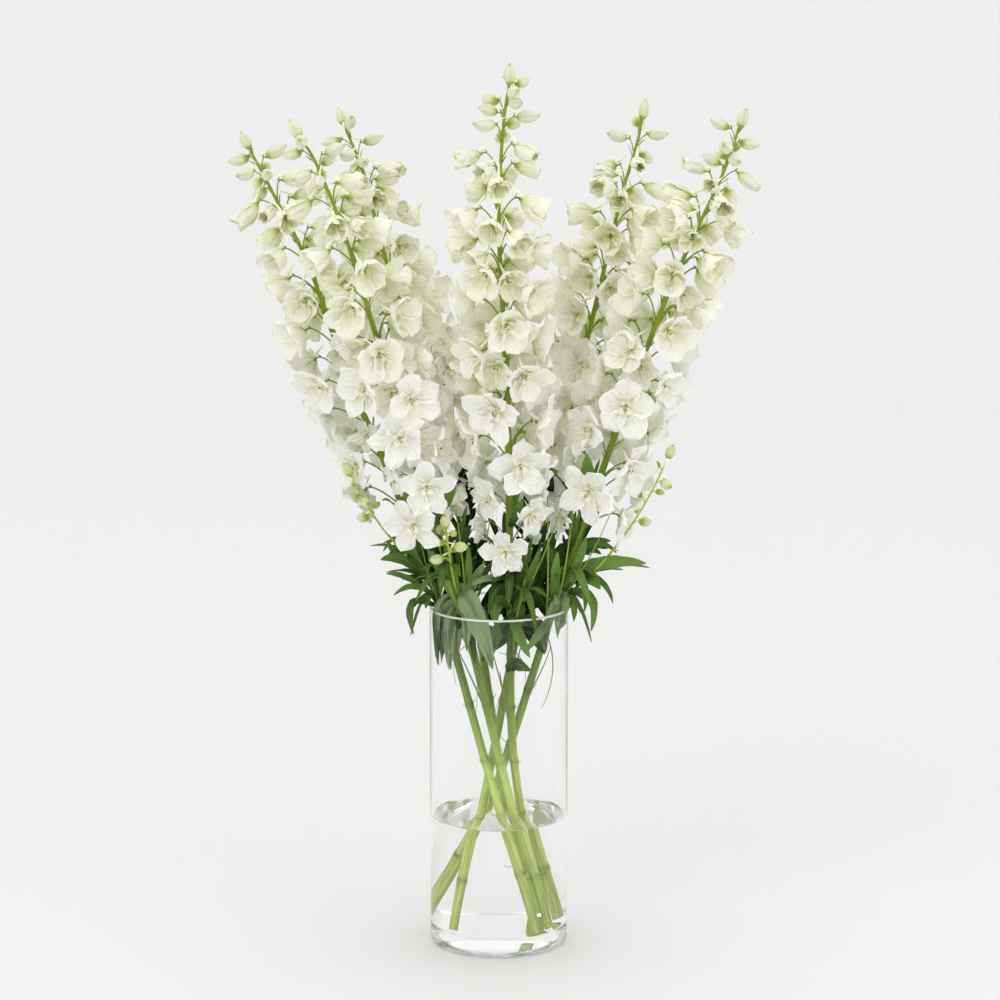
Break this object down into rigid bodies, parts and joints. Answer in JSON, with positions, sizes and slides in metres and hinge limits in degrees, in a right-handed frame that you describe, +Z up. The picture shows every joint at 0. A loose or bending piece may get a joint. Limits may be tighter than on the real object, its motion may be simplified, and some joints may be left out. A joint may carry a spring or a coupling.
{
  "type": "delphinium flower bunch in a glass vase",
  "caption": "Bunch of white delphinium flower spikes with leafy green stems, standing in a clear glass cylinder vase with water.",
  "frame": {"origin": "centre of the vase's foot, on the surface that it stands on", "axes": "+Z up along the vase's axis; -Y is the front, +X to the right seen from the front"},
  "size_m": [0.4526, 0.2487, 0.7673],
  "materials": {
    "clear_glass": "clear polished glass, faintly grey-green where it is thick",
    "still_water": "still clear water",
    "green_stem_and_leaf": "fresh satin green plant skin, darker on the leaves",
    "white_floret": "soft white petals, creamy yellow-green towards the tips of the spikes"
  },
  "bodies": {
    "root": {"glass_vase": "clear_glass", "water": "still_water", "far_left_leafy_stem": "green_stem_and_leaf", "far_left_flower_head": "white_floret", "left_leafy_stem": "green_stem_and_leaf", "left_flower_head": "white_floret", "back_left_leafy_stem": "green_stem_and_leaf", "back_left_flower_head": "white_floret", "centre_leafy_stem": "green_stem_and_leaf", "centre_flower_head": "white_floret", "back_right_leafy_stem": "green_stem_and_leaf", "back_right_flower_head": "white_floret", "far_right_leafy_stem": "green_stem_and_leaf", "far_right_flower_head": "white_floret"}
  },
  "joints": []
}
